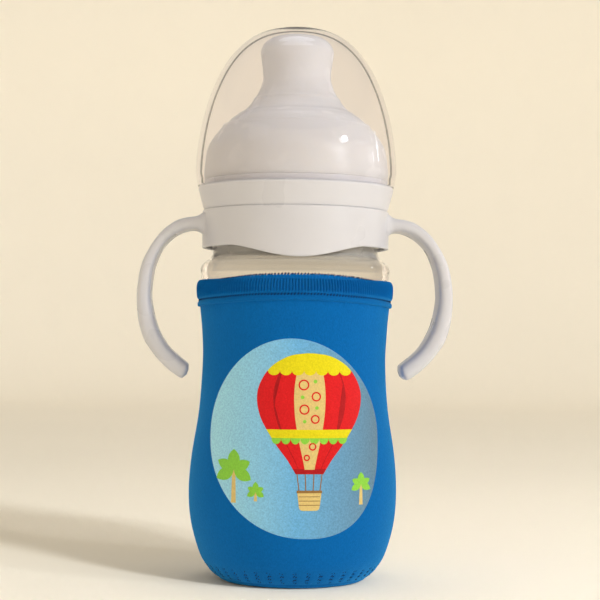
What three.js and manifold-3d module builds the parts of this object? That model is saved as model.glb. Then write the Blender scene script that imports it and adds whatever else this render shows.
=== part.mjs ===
// A wide-neck glass baby bottle: a soft teat under a screw collar and a clear travel cap,
// a ring with two carrying handles round the neck, and a padded fabric sleeve.
// Millimetres, +Z up. The origin is the centre of the sleeve's flat underside.
// The sleeve's print faces -Y and the handles stand out along +X and -X.

import * as THREE from 'three';
import * as BufferGeometryUtils from 'three/addons/utils/BufferGeometryUtils.js';
import Module from 'manifold-3d';

const wasm = await Module();
wasm.setup();

// Fineness and clearances
const SEGMENTS = 28;
const MERGE_DISTANCE = 1e-4;
const GAP = 0.3;

// Sleeve
const SLEEVE_THICKNESS = 2.5;
const SLEEVE_BASE_RADIUS = 24.7;
const BINDING_TOP = 97.0;
const THREAD_THICKNESS = 0.4;
const BACK_SEAM_WIDTH = 6;
const BACK_SEAM_BOTTOM = 8;
const BACK_SEAM_TOP = 86;
const PRINT_HALF_WIDTH = 27.2;
const PRINT_HALF_HEIGHT = 31;
const PRINT_CENTRE = 47.7;
const SLEEVE_RADIUS = 34.06;
const SKIN_STEPS = 12;

// Bottle finish
const NECK_RADIUS = 26.5;
const NECK_BORE = 23.9;
const NECK_TOP = 124.2;
const GLASS_BASE = SLEEVE_THICKNESS + GAP;
const GLASS_WALL = 2.6;
const GLASS_NECK_WALL = 2.1;

// Screw thread
const THREAD_PITCH = 4;
const THREAD_TURNS = 1.25;
const THREAD_BEAD = 0.9;
const THREAD_BOTTOM = 115.2;
const THREAD_SECTION_SIDES = 6;
const COLLAR_THREAD_DROP = 1.8;

// Handle ring
const RING_OUTER = 30.7;
const RING_INNER = 29.4;
const RING_TOP = 120.5;
const RING_EDGE = 108.6;
const LOBE_DEPTH = 4.4;
const LOBE_HALF_ANGLE = Math.PI / 4;
const LEDGE_INNER = 27.8;
const LEDGE_BOTTOM = 110.7;
const LEDGE_TOP = 111.9;
const HANDLE_WIDTH = 15;
const HANDLE_EDGE_ROUND = 1.4;
const HANDLE_ROOT = 24;
const HANDLE_ROOT_BOTTOM = 112.3;
const HANDLE_OUTLINE_STEPS = 48;

// Teat
const TEAT_STEPS = 16;

// Collar
const COLLAR_TOP = 128.4;
const COLLAR_SKIRT_BOTTOM = LEDGE_TOP + GAP;
const COLLAR_SKIRT_INNER = 27.8;
const COLLAR_OPENING = 26.0;
const SPIGOT_OUTER = 30.3;
const SPIGOT_TOP = 130.4;

// Travel cap: a dome whose height and radius follow one superellipse
const CAP_TOP = 181.5;
const CAP_RADIUS = 33.1;
const CAP_SPRING = 133;
const CAP_SIDE_WALL = 2.0;
const CAP_TOP_WALL = 1.7;
const CAP_ROUND_SIDE = 2.75;
const CAP_ROUND_TOP = 1.7;
const CAP_STEPS = 10;

// Outlines are [radius, height] pairs, from the bottom up unless a comment says otherwise.
const SLEEVE_OUTLINE = [
  [25.1, 0.3], [28, 3.6], [30.6, 8.3], [33.2, 18], [SLEEVE_RADIUS, 28],
  [33.3, 40], [31, 55.5], [30, 71], [30.4, 81], [31.1, 88.6],
];
const GLASS_UNDERCUT = [
  [28.4, 90], [28.6, 92.5], [29.3, 94.8], [30.2, 96.6], [30.8, 98.2], [30.9, 99.6],
];
const GLASS_SHOULDER = [
  [31.2, 100.8], [30.9, 102.2], [29.6, 103.6], [28.1, 104.8], [27.3, 106.1],
];
const TEAT_OUTER = [
  [30.2, 130.7], [30.3, 134], [29.5, 140.2], [27.95, 143.6], [26.3, 145.5], [23.6, 148.5],
  [21.9, 150.5], [16.8, 154.1], [13.2, 158.9], [11.7, 162.4], [11.2, 165.7], [11.9, 171.6],
  [11.9, 174.2], [10.2, 176.8], [6.4, 178.5], [0.6, 178.5],
];
const TEAT_INNER = [
  [23.4, 129.5], [27.4, 132], [28.1, 134.5], [27.3, 139.6], [25.4, 143.2],
  [20.3, 149], [15.3, 152.6], [11.4, 158], [9.6, 162.5], [9.2, 165.8],
  [9.8, 171.8], [9.7, 173.6], [8.6, 175.3], [6, 176.3], [0.6, 176.3],
];

// The two sides of a handle strap as [distance from the axis, height], root to tip and back.
const HANDLE_OUTSIDE = [
  [33.2, 119.2], [36.2, 118.5], [39.9, 117], [44.6, 113.1], [48.4, 107.3], [50.7, 101.3],
  [51.6, 93], [51.1, 84.8], [49.3, 78.4], [47, 74.7], [44.4, 71.4], [41.3, 68.4], [38, 66],
  [36.5, 65.5], [35.1, 66.4], [34.1, 68.3], [34.5, 69.8],
];
const HANDLE_INSIDE = [
  [37, 71.7], [40.6, 74.9], [43, 78.2], [45.3, 83], [46.8, 89], [47.2, 94], [46.3, 101.3],
  [44, 107.3], [41.4, 110.6], [38, 113], [34.5, 114.1], [32, 113.7],
  [30.7, HANDLE_ROOT_BOTTOM],
];

// ---- helpers ---------------------------------------------------------------------------

function toPoints(pairs) {
  return pairs.map(([across, up]) => new THREE.Vector2(across, up));
}

function smoothLine(knots, steps) {
  const curve = new THREE.SplineCurve(toPoints(knots));
  return curve.getPoints(steps).map((point) => [point.x, point.y]);
}

// Moves an outline sideways; a positive distance moves an upward line away from the axis.
function offsetLine(line, distance) {
  return line.map(([r, z], i) => {
    const before = line[Math.max(i - 1, 0)];
    const after = line[Math.min(i + 1, line.length - 1)];
    const run = Math.hypot(after[0] - before[0], after[1] - before[1]);
    return [
      r + (distance * (after[1] - before[1])) / run,
      z - (distance * (after[0] - before[0])) / run,
    ];
  });
}

function closeLine(line) {
  return [...line, line[0]];
}

function turned(line) {
  return new THREE.LatheGeometry(toPoints(line), SEGMENTS).rotateX(Math.PI / 2);
}

function toSolid(geometry) {
  const plain = geometry.clone();
  plain.deleteAttribute('normal');
  plain.deleteAttribute('uv');
  const merged = BufferGeometryUtils.mergeVertices(plain, MERGE_DISTANCE);
  const corners = Array.from(merged.index.array);
  const triangles = [];
  for (let i = 0; i < corners.length; i += 3) {
    const [a, b, c] = corners.slice(i, i + 3);
    if (a !== b && b !== c && c !== a) triangles.push(a, b, c);
  }
  return new wasm.Manifold(new wasm.Mesh({
    numProp: 3,
    vertProperties: Float32Array.from(merged.attributes.position.array),
    triVerts: Uint32Array.from(triangles),
  }));
}

function toGeometry(solid) {
  const mesh = solid.getMesh();
  const geometry = new THREE.BufferGeometry();
  geometry.setAttribute('position', new THREE.BufferAttribute(mesh.vertProperties, 3));
  geometry.setIndex(new THREE.BufferAttribute(mesh.triVerts, 1));
  geometry.computeVertexNormals();
  return geometry;
}

// A shape drawn in X and Z, made solid between two Y planes.
function extrudedAlongY(shape, yLow, yHigh, options = {}) {
  const settings = { depth: yHigh - yLow, bevelEnabled: false, ...options };
  return new THREE.ExtrudeGeometry(shape, settings).rotateX(Math.PI / 2).translate(0, yHigh, 0);
}

// ---- sleeve ----------------------------------------------------------------------------

const sleeveSkin = smoothLine(SLEEVE_OUTLINE, SKIN_STEPS);

function sleeveWall() {
  const underBinding = [
    [30.3, 89.3], [30.3, 92.5], [30.9, 95], [31.5, 97], [31.8, 97.9], [31.8, 98.9],
  ];
  const lining = offsetLine([...GLASS_UNDERCUT.slice(0, 5), [30.9, 98.9]], GAP);
  const inside = offsetLine(sleeveSkin, -SLEEVE_THICKNESS);
  const clearOfBase = inside.filter(([r, z]) => r > SLEEVE_BASE_RADIUS + 2 * GAP && z > 4);
  const seam = SLEEVE_BASE_RADIUS + GAP;
  return turned(closeLine([
    ...sleeveSkin, ...underBinding, ...lining.reverse(), ...clearOfBase.reverse(),
    [seam, 3.6], [seam, 0.3],
  ]));
}

function sleeveBase() {
  return turned([
    [0, 0], [24.1, 0], [SLEEVE_BASE_RADIUS, 0.5], [SLEEVE_BASE_RADIUS, SLEEVE_THICKNESS],
    [0, SLEEVE_THICKNESS],
  ]);
}

function hemBinding() {
  return turned(closeLine([
    [31.6, 89], [32.2, 90.2], [31.95, 92], [32.3, 92.7], [32.35, 95.4],
    [31.95, BINDING_TOP], [31.8, BINDING_TOP], [31.2, 94.9], [30.6, 92.4], [30.6, 89.7],
  ]));
}

function hemStitch() {
  return turned(closeLine([[32.3, 91.8], [32.65, 91.8], [32.65, 92.3], [32.3, 92.3]]));
}

function baseStitch() {
  const edge = sleeveSkin.slice(1, 3);
  const outer = offsetLine(edge, GAP + THREAD_THICKNESS);
  return turned(closeLine([...outer, ...offsetLine(edge, GAP).reverse()]));
}

function backSeamStitch() {
  const edge = sleeveSkin.filter(([, z]) => z > BACK_SEAM_BOTTOM && z < BACK_SEAM_TOP);
  const outline = [...offsetLine(edge, GAP + THREAD_THICKNESS), ...offsetLine(edge, GAP).reverse()];
  const shape = new THREE.Shape(toPoints(outline));
  const strip = new THREE.ExtrudeGeometry(shape, { depth: BACK_SEAM_WIDTH, bevelEnabled: false });
  return strip.rotateX(Math.PI / 2).rotateZ(Math.PI / 2).translate(-BACK_SEAM_WIDTH / 2, 0, 0);
}

// A film on the front that looks like an ellipse when it is seen from straight ahead.
function printPatch() {
  const edge = sleeveSkin.filter(([, z]) => z > 8 && z < 86);
  const outer = offsetLine(edge, GAP + THREAD_THICKNESS);
  const film = turned(closeLine([...outer, ...offsetLine(edge, GAP).reverse()]));
  const outline = new THREE.Shape();
  outline.absellipse(0, PRINT_CENTRE, PRINT_HALF_WIDTH, PRINT_HALF_HEIGHT, 0, 2 * Math.PI);
  const settings = { curveSegments: SEGMENTS };
  const cutter = extrudedAlongY(outline, -2 * SLEEVE_RADIUS, -5, settings);
  return toGeometry(toSolid(film).intersect(toSolid(cutter)));
}

// ---- glass bottle ----------------------------------------------------------------------

class Helix extends THREE.Curve {
  constructor(radius, bottom) {
    super();
    this.radius = radius;
    this.bottom = bottom;
  }

  getPoint(t, target = new THREE.Vector3()) {
    const angle = 2 * Math.PI * THREAD_TURNS * t;
    const height = this.bottom + THREAD_PITCH * THREAD_TURNS * t;
    return target.set(this.radius * Math.cos(angle), this.radius * Math.sin(angle), height);
  }
}

// A right-hand thread bead with rounded ends.
function threadBead(radius, bottom) {
  const path = new Helix(radius, bottom);
  const section = new THREE.Shape();
  section.absarc(0, 0, THREAD_BEAD, 0, 2 * Math.PI, false);
  const bead = toSolid(new THREE.ExtrudeGeometry(section, {
    extrudePath: path,
    steps: SEGMENTS * THREAD_TURNS,
    curveSegments: THREAD_SECTION_SIDES,
    bevelEnabled: false,
  }));
  return [0, 1].reduce((solid, t) => {
    const end = path.getPoint(t);
    const ball = new THREE.SphereGeometry(THREAD_BEAD, THREAD_SECTION_SIDES, THREAD_SECTION_SIDES);
    return solid.add(toSolid(ball.translate(end.x, end.y, end.z)));
  }, bead);
}

function bottleGlass() {
  const cavityBottom = GLASS_BASE + 4;
  const body = offsetLine(sleeveSkin, -SLEEVE_THICKNESS - GAP).filter(([, z]) => z > 6 && z < 86);
  const heel = [[0, 4.3], [17, 4.1], [20, GLASS_BASE], [21.6, GLASS_BASE], [23.6, 3.4], [25, 4.9]];
  const finish = [
    [27.1, 108.7], [28.9, 109], [28.9, 110.4], [NECK_RADIUS, 110.9],
    [NECK_RADIUS, NECK_TOP - 0.8], [NECK_RADIUS - 0.8, NECK_TOP], [NECK_BORE + 0.6, NECK_TOP],
    [NECK_BORE, NECK_TOP - 0.6],
  ];
  const shoulder = offsetLine([...GLASS_UNDERCUT.slice(2), ...GLASS_SHOULDER], -GLASS_NECK_WALL);
  const insideShoulder = [[NECK_BORE, 110], [25, 108], ...shoulder.reverse(), [26.2, 92.8]];
  const insideBody = offsetLine(body, -GLASS_WALL).filter(([, z]) => z > 11);
  const floor = [[24.6, 9.4], [22.4, 7.6], [19, cavityBottom], [0, cavityBottom + 1]];
  const blank = turned([
    ...heel, ...body, ...GLASS_UNDERCUT, ...GLASS_SHOULDER, ...finish,
    ...insideShoulder, ...insideBody.reverse(), ...floor,
  ]);
  const thread = threadBead(NECK_RADIUS + 0.1, THREAD_BOTTOM);
  return toGeometry(toSolid(blank).add(thread));
}

// ---- handle ring -----------------------------------------------------------------------

// The outline of one C-shaped strap on the +X side, from its root round to its free tip,
// drawn inside the real one by the edge rounding that the bevel adds back.
function handleShape() {
  const path = new THREE.Path();
  path.moveTo(30.4, RING_TOP);
  path.splineThru(toPoints(HANDLE_OUTSIDE));
  path.splineThru(toPoints(HANDLE_INSIDE));
  const edge = path.getSpacedPoints(HANDLE_OUTLINE_STEPS).map((point) => [point.x, point.y]);
  const root = [
    [HANDLE_ROOT, HANDLE_ROOT_BOTTOM + HANDLE_EDGE_ROUND],
    [HANDLE_ROOT, RING_TOP - HANDLE_EDGE_ROUND],
  ];
  return new THREE.Shape(toPoints([...offsetLine(edge, HANDLE_EDGE_ROUND), ...root]));
}

function handleStrap(side) {
  const strap = extrudedAlongY(handleShape(), -HANDLE_WIDTH / 2, HANDLE_WIDTH / 2, {
    depth: HANDLE_WIDTH - 2 * HANDLE_EDGE_ROUND,
    bevelEnabled: true,
    bevelThickness: HANDLE_EDGE_ROUND,
    bevelSize: HANDLE_EDGE_ROUND,
    bevelSegments: 1,
  }).translate(0, -HANDLE_EDGE_ROUND, 0);
  return side > 0 ? strap : strap.rotateZ(Math.PI);
}

// Everything below the ring's edge, which dips in a smooth lobe at the front and back.
function belowRingEdge() {
  const lobeHalfWidth = RING_OUTER * Math.sin(LOBE_HALF_ANGLE);
  const outline = [[-40, 95], [40, 95], [40, RING_EDGE]];
  const steps = 16;
  for (let i = 0; i <= steps; i += 1) {
    const across = 1 - (2 * i) / steps;
    const dip = LOBE_DEPTH * Math.cos((Math.PI / 2) * across) ** 1.4;
    outline.push([lobeHalfWidth * across, RING_EDGE - dip]);
  }
  outline.push([-40, RING_EDGE]);
  const shape = new THREE.Shape(toPoints(outline));
  return toSolid(extrudedAlongY(shape, -40, 40));
}

function handleRing() {
  const band = toSolid(turned(closeLine([
    [RING_INNER, RING_EDGE - LOBE_DEPTH], [RING_OUTER, RING_EDGE - LOBE_DEPTH],
    [RING_OUTER, RING_TOP], [RING_INNER, RING_TOP],
  ]))).subtract(belowRingEdge());
  const bore = toSolid(new THREE.CylinderGeometry(RING_INNER + 0.2, RING_INNER + 0.2, 40, SEGMENTS)
    .rotateX(Math.PI / 2).translate(0, 0, RING_TOP - 10));
  const ledge = toSolid(turned(closeLine([
    [LEDGE_INNER, LEDGE_BOTTOM], [RING_INNER + 0.2, LEDGE_BOTTOM],
    [RING_INNER + 0.2, LEDGE_TOP], [LEDGE_INNER, LEDGE_TOP],
  ])));
  const straps = [-1, 1].map((side) => toSolid(handleStrap(side)).subtract(bore));
  return toGeometry(band.add(straps[0]).add(straps[1]).add(ledge));
}

// ---- teat, collar and cap --------------------------------------------------------------

function teatSilicone() {
  const foot = [
    [23.4, 124.5], [27.4, 124.5], [27.4, 126.5], [25.7, 126.5], [25.7, 130.7],
  ];
  const outer = smoothLine(TEAT_OUTER.slice(1), TEAT_STEPS);
  const inner = smoothLine(TEAT_INNER.slice(1), TEAT_STEPS - 2).reverse();
  return turned(closeLine([...foot, TEAT_OUTER[0], ...outer, ...inner, TEAT_INNER[0]]));
}

function collarShell() {
  const shell = toSolid(turned(closeLine([
    [COLLAR_SKIRT_INNER, COLLAR_SKIRT_BOTTOM], [29.1, COLLAR_SKIRT_BOTTOM], [29.1, 120.8],
    [30.5, 120.8], [30.9, 121.6], [32.2, 127.7], [31.9, COLLAR_TOP], [SPIGOT_OUTER, COLLAR_TOP],
    [SPIGOT_OUTER, SPIGOT_TOP], [28.8, SPIGOT_TOP], [28.8, COLLAR_TOP],
    [COLLAR_OPENING, COLLAR_TOP], [COLLAR_OPENING, 126.8], [COLLAR_SKIRT_INNER, 126.8],
  ])));
  const thread = threadBead(COLLAR_SKIRT_INNER - 0.1, THREAD_BOTTOM - COLLAR_THREAD_DROP);
  return toGeometry(shell.add(thread));
}

function domeLine(radius, top, steps) {
  const line = [];
  for (let i = 0; i <= steps; i += 1) {
    const angle = (Math.PI / 2) * (i / steps);
    const across = Math.cos(angle) ** (2 / CAP_ROUND_SIDE);
    const up = Math.sin(angle) ** (2 / CAP_ROUND_TOP);
    line.push([i === steps ? 0 : radius * across, CAP_SPRING + (top - CAP_SPRING) * up]);
  }
  return line;
}

function travelCap() {
  const lowerEdge = COLLAR_TOP + GAP;
  const inner = domeLine(CAP_RADIUS - CAP_SIDE_WALL, CAP_TOP - CAP_TOP_WALL, CAP_STEPS).reverse();
  const rim = [[30.7, 131], [30.7, lowerEdge], [32.4, lowerEdge]];
  return turned([...inner, ...rim, ...domeLine(CAP_RADIUS, CAP_TOP, CAP_STEPS)]);
}

// ---- materials -------------------------------------------------------------------------

const clearGlass = new THREE.MeshStandardMaterial({
  color: 0xdfeae6, roughness: 0.03, metalness: 0, transparent: true, opacity: 0.3,
});
const clearPlastic = new THREE.MeshStandardMaterial({
  color: 0xf4f4f2, roughness: 0.05, metalness: 0, transparent: true, opacity: 0.25,
});
const silicone = new THREE.MeshStandardMaterial({
  color: 0xeeeae6, roughness: 0.4, metalness: 0, transparent: true, opacity: 0.9,
});
const whitePlastic = new THREE.MeshStandardMaterial({
  color: 0xf2eeea, roughness: 0.28, metalness: 0,
});
const blueFabric = new THREE.MeshStandardMaterial({ color: 0x0f62a4, roughness: 0.9, metalness: 0 });
const blueThread = new THREE.MeshStandardMaterial({ color: 0x0a4c88, roughness: 0.8, metalness: 0 });
const printFabric = new THREE.MeshStandardMaterial({ color: 0x8fc3dc, roughness: 0.85, metalness: 0 });

// ---- assembly --------------------------------------------------------------------------

function piece(name, geometry, material) {
  const mesh = new THREE.Mesh(geometry, material);
  mesh.name = name;
  return mesh;
}

function group(...children) {
  const parent = new THREE.Group();
  parent.add(...children);
  return parent;
}

const sleeve = group(
  piece('sleeve_wall', sleeveWall(), blueFabric),
  piece('sleeve_base', sleeveBase(), blueFabric),
  piece('hem_binding', hemBinding(), blueFabric),
  piece('hem_stitch', hemStitch(), blueThread),
  piece('base_stitch', baseStitch(), blueThread),
  piece('back_seam_stitch', backSeamStitch(), blueThread),
  piece('print_patch', printPatch(), printFabric),
);
const bottle = group(
  piece('glass_bottle', bottleGlass(), clearGlass),
  piece('handle_ring', handleRing(), whitePlastic),
);
const top = group(
  piece('teat', teatSilicone(), silicone),
  piece('screw_collar', collarShell(), whitePlastic),
  piece('travel_cap', travelCap(), clearPlastic),
);

export default group(sleeve, bottle, top);
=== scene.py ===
# A baby bottle: a glass bottle in a padded blue sleeve, with a ring of two carrying handles,
# a screw collar, a soft teat and a clear travel cap.
# Shapes are worked out in millimetres about the bottle's axis (+Z up, the print faces -Y)
# and written to the meshes in metres. Angles go round the axis from the front towards +X.

import math
import random

import bmesh
import bpy
import numpy as np
from mathutils import Matrix, Vector


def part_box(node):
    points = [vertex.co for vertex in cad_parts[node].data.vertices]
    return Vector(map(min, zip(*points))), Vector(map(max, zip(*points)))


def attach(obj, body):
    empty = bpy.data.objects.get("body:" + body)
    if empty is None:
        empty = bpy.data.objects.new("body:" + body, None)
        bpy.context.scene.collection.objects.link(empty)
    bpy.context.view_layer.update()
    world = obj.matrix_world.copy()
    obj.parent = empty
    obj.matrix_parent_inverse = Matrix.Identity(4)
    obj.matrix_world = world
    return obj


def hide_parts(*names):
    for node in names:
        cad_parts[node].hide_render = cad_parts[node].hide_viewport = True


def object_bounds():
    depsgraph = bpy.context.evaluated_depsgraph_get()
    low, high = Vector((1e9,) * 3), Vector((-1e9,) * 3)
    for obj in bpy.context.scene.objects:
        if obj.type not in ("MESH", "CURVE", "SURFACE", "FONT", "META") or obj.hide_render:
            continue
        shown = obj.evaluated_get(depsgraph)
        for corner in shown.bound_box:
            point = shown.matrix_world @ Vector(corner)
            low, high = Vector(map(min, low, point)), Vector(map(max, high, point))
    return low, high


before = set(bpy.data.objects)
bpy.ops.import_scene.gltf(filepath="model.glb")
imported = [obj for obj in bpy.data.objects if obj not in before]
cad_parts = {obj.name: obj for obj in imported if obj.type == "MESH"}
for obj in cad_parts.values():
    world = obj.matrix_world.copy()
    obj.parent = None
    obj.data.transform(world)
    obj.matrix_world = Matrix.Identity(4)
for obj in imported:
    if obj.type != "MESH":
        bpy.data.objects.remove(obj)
cad_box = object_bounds()

MM = 0.001
WELD = 2e-7
TURN = 2 * math.pi


def heights(node):
    low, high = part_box(node)
    return low[2] / MM, high[2] / MM


# Sleeve
SLEEVE_OUTLINE = [
    (25, 1.4), (26.4, 2.5), (27.9, 4.2), (30.5, 8.6), (33.2, 18), (34.06, 28),
    (33.3, 40), (31, 55.5), (30, 71), (30.4, 81), (31.1, 88.6),
]
SLEEVE_THICKNESS = 2.5
BASE_PANEL_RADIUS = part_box("sleeve_base")[1][0] / MM
HEM_DROOP = 1.7
HEM_RIBS = 208
HEM_STITCHES = 190
HEM_STITCH_HEIGHT = 92.6
HEM_GROOVE_RADIUS = 31.5
BINDING_TOP = heights("hem_binding")[1]
ROLL_TOP = BINDING_TOP + 0.4
LIP_TOP = heights("sleeve_wall")[1]
LIP_BOTTOM = 95.6
BASE_STITCH_GROUPS = 43
SEAM_BOTTOM, SEAM_TOP = heights("back_seam_stitch")
SEAM_HALF_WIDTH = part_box("back_seam_stitch")[1][0] / MM

# Print on the front of the sleeve
PRINT_HALF_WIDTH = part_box("print_patch")[1][0] / MM
PRINT_LOW, PRINT_HIGH = heights("print_patch")
PRINT_CENTRE = (PRINT_LOW + PRINT_HIGH) / 2
PRINT_HALF_HEIGHT = (PRINT_HIGH - PRINT_LOW) / 2
PRINT_RAISED = 0.12
PRINT_LEAN = 3.9

# Glass
GLASS_WALL = 2.6
GLASS_UNDERCUT = [
    (28.4, 90), (28.6, 92.5), (29.3, 94.8), (30.2, 96.6), (30.8, 98.2), (30.9, 99.6),
]
GLASS_HAZE = (101.9, 105.4)  # heights where the haze starts and is full
GLASS_SHOULDER = [(31.2, 100.8), (30.9, 102.2), (29.6, 103.6), (28.1, 104.8), (27.3, 106.1)]
NECK_RADIUS = 26.5
NECK_BORE = 23.9
NECK_TOP = heights("glass_bottle")[1]
THREAD_PITCH = 4
THREAD_TURNS = 1.25
THREAD_BEAD = 0.9
THREAD_BOTTOM = 115.2
THREAD_ROW = 0.18
COLLAR_BORE = 27.8
COLLAR_THREAD_DROP = 1.8

# Handle ring
RING_OUTER = 30.7
RING_INNER = 29.4
RING_EDGE = 108.1
RING_TOP = 120.5
LOBE_TOP = 110.4
LOBE_DEPTH = 3.9
BACK_LOBE_DEPTH = 1.6
LOBE_HALF_ANGLE = math.pi / 4
HANDLE_HALF_WIDTH = 7.5
HANDLE_OUTSIDE = [
    (30.4, 119.9), (32.6, 118.3), (36, 117.7), (39.6, 116.4), (44.1, 112.8), (48, 107.2),
    (50.5, 101.2), (51.6, 93), (51.1, 84.8), (49.3, 78.4), (47, 74.7), (44.4, 71.4),
    (41.3, 68.4), (38, 66), (36, 64.9),
]
HANDLE_INSIDE = [
    (30.7, 112.3), (32, 113.7), (34.5, 114.1), (38, 113), (41.4, 110.6), (44, 107.3),
    (46.3, 101.3), (47.2, 94), (46.8, 89), (45.3, 83), (43, 78.2), (40.6, 74.9), (37, 71.7),
    (34.2, 69.6),
]

# Teat
TEAT_OUTER = [
    (30.3, 134), (29.5, 140.2), (27.95, 143.6), (26.3, 145.9), (24.6, 148),
]
TEAT_NIPPLE = [
    (23.2, 149), (21.3, 151), (16.8, 154.1), (13.2, 158.9), (11.7, 162.4), (11.2, 165.7),
    (11.9, 171.6), (11.9, 174.2), (10.2, 176.8), (6.4, 178.4), (0, 178.5),
]
NIPPLE_RIDGES = (152.6, 157.5)
RIDGE_HEIGHT = 0.3
TEAT_INNER = [
    (27.4, 132), (28.1, 134.5), (27.3, 139.6), (25.4, 143.2), (20.3, 149), (15.3, 152.6),
    (11.4, 158), (9.6, 162.5), (9.2, 165.8), (9.8, 171.8), (9.7, 173.6), (8.6, 175.3),
    (6, 176.3), (0, 176.3),
]

# Travel cap: a dome whose height and radius follow one superellipse
CAP_BOTTOM, CAD_CAP_TOP = heights("travel_cap")
CAP_TOP = CAD_CAP_TOP - 0.5
CAP_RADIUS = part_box("travel_cap")[1][0] / MM
CAP_SPRING = 133
CAP_SIDE_WALL = 2.0
CAP_TOP_WALL = 1.7
CAP_ROUND_SIDE = 2.75
CAP_ROUND_TOP = 1.74


# ---- outlines and meshes ---------------------------------------------------------------


def spline(knots, per_span=8):
    """Points on the smooth curve through the knots."""
    knots = np.array(knots, float)
    ends = np.vstack([knots[:1], knots, knots[-1:]])
    points = []
    for a, b, c, d in zip(ends, ends[1:], ends[2:], ends[3:]):
        leave, arrive = (c - a) / 2, (d - b) / 2
        for t in np.arange(per_span) / per_span:
            cubic = (2 * (b - c) + leave + arrive) * t**3
            square = (3 * (c - b) - 2 * leave - arrive) * t**2
            points.append(cubic + square + leave * t + b)
    return np.array([*points, knots[-1]])


def offset(line, distance):
    """The outline moved sideways; a positive distance moves an upward line outwards."""
    along = np.gradient(line, axis=0)
    along /= np.linalg.norm(along, axis=1, keepdims=True)
    return line + distance * np.stack([along[:, 1], -along[:, 0]], axis=1)


def resampled(line, count):
    """The same line as count points at even distances."""
    steps = np.linalg.norm(np.diff(line, axis=0), axis=1)
    run = np.concatenate([[0], np.cumsum(steps)])
    wanted = np.linspace(0, run[-1], count)
    return np.stack([np.interp(wanted, run, line[:, i]) for i in range(line.shape[1])], axis=1)


def rounded(corners, steps=5):
    """A closed outline of (radius, height, rounding) corners, with each one rounded."""
    outline = []
    for i, (across, up, rounding) in enumerate(corners):
        here = np.array((across, up), float)
        if rounding == 0:
            outline.append(here)
            continue
        back = np.array(corners[i - 1][:2]) - here
        ahead = np.array(corners[(i + 1) % len(corners)][:2]) - here
        reach = min(rounding, 0.48 * np.linalg.norm(back), 0.48 * np.linalg.norm(ahead))
        start = here + back / np.linalg.norm(back) * reach
        end = here + ahead / np.linalg.norm(ahead) * reach
        for t in np.linspace(0, 1, steps + 1):
            outline.append((1 - t) ** 2 * start + 2 * t * (1 - t) * here + t**2 * end)
    return np.array(outline)


def place(angle, radius, height):
    """Points in space from angles round the axis, radii and heights."""
    angle, radius, height = np.broadcast_arrays(angle, radius, height)
    return np.stack([radius * np.sin(angle), -radius * np.cos(angle), height], axis=-1)


def circle(segments):
    return np.linspace(0, TURN, segments, endpoint=False)


def turned(outline, segments, change=None):
    """A grid of points: the outline turned about the axis, one row for each of its points.
    change(angle, radius, height) may return a new radius and height."""
    angle, radius = np.meshgrid(circle(segments), outline[:, 0])
    height = np.repeat(outline[:, 1:2], segments, axis=1)
    if change is not None:
        radius, height = change(angle, radius, height)
    return place(angle, radius, height)


def as_object(name, mesh, material):
    mesh.materials.append(material)
    obj = bpy.data.objects.new(name, mesh)
    bpy.context.scene.collection.objects.link(obj)
    return obj


def build(name, points, faces, material, crease=40):
    """A mesh object from points in mm, with doubled points welded and faces turned outwards."""
    mesh = bpy.data.meshes.new(name)
    mesh.from_pydata((np.asarray(points) * MM).tolist(), [], faces)
    work = bmesh.new()
    work.from_mesh(mesh)
    bmesh.ops.remove_doubles(work, verts=work.verts, dist=WELD)
    bmesh.ops.recalc_face_normals(work, faces=work.faces)
    work.to_mesh(mesh)
    work.free()
    mesh.shade_smooth()
    mesh.set_sharp_from_angle(angle=math.radians(crease))
    return as_object(name, mesh, material)


def grid_faces(rows, columns, close_rows, first=0):
    index = first + np.arange(rows * columns).reshape(rows, columns)
    above = np.roll(index, -1, axis=0)
    corners = [index, np.roll(index, -1, axis=1), np.roll(above, -1, axis=1), above]
    used = rows if close_rows else rows - 1
    return np.stack(corners, axis=-1)[:used].reshape(-1, 4).tolist()


def skin_over(name, grid, material, close_rows=True, crease=40):
    """A mesh over grid[row][column], whose columns close on themselves."""
    rows, columns = grid.shape[:2]
    faces = grid_faces(rows, columns, close_rows)
    return build(name, grid.reshape(-1, 3), faces, material, crease)


def threads(name, paths, thickness, material, sides=6):
    """One mesh of many short threads. paths[thread][point] are points in mm, the same count
    for each thread, and each thread tapers to a rounded point at both ends."""
    paths = np.array(paths, float)
    count = paths.shape[1]
    along = np.gradient(paths, axis=1)
    along /= np.linalg.norm(along, axis=2, keepdims=True)
    outward = paths * (1, 1, 0)
    outward /= np.linalg.norm(outward, axis=2, keepdims=True)
    across = np.cross(along, outward)
    across /= np.linalg.norm(across, axis=2, keepdims=True)
    up = np.cross(across, along)
    taper = np.sqrt(1 - np.linspace(-1, 1, count) ** 4) * thickness / 2
    rings = [
        paths + taper[:, None] * (across * math.cos(a) + up * math.sin(a))
        for a in circle(sides)
    ]
    grid = np.stack(rings, axis=2)
    faces = []
    for i in range(len(paths)):
        faces += grid_faces(count, sides, False, first=i * count * sides)
    return build(name, grid.reshape(-1, 3), faces, material, crease=80)


# ---- materials -------------------------------------------------------------------------


def add(tree, kind, values, **settings):
    """A shader node. values are its inputs by name or number: a socket to link, or a value."""
    node = tree.nodes.new("ShaderNode" + kind)
    for name, value in settings.items():
        setattr(node, name, value)
    for name, value in values.items():
        if isinstance(value, bpy.types.NodeSocket):
            tree.links.new(value, node.inputs[name])
        else:
            node.inputs[name].default_value = value
    return node


def start_material(name, **constants):
    """A material with one Principled shader; constants are its input values, with _ for spaces."""
    material = bpy.data.materials.new(name)
    material.use_nodes = True
    shader = material.node_tree.nodes["Principled BSDF"]
    for key, value in constants.items():
        shader.inputs[key.replace("_", " ")].default_value = value
    return material, material.node_tree, shader


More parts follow.
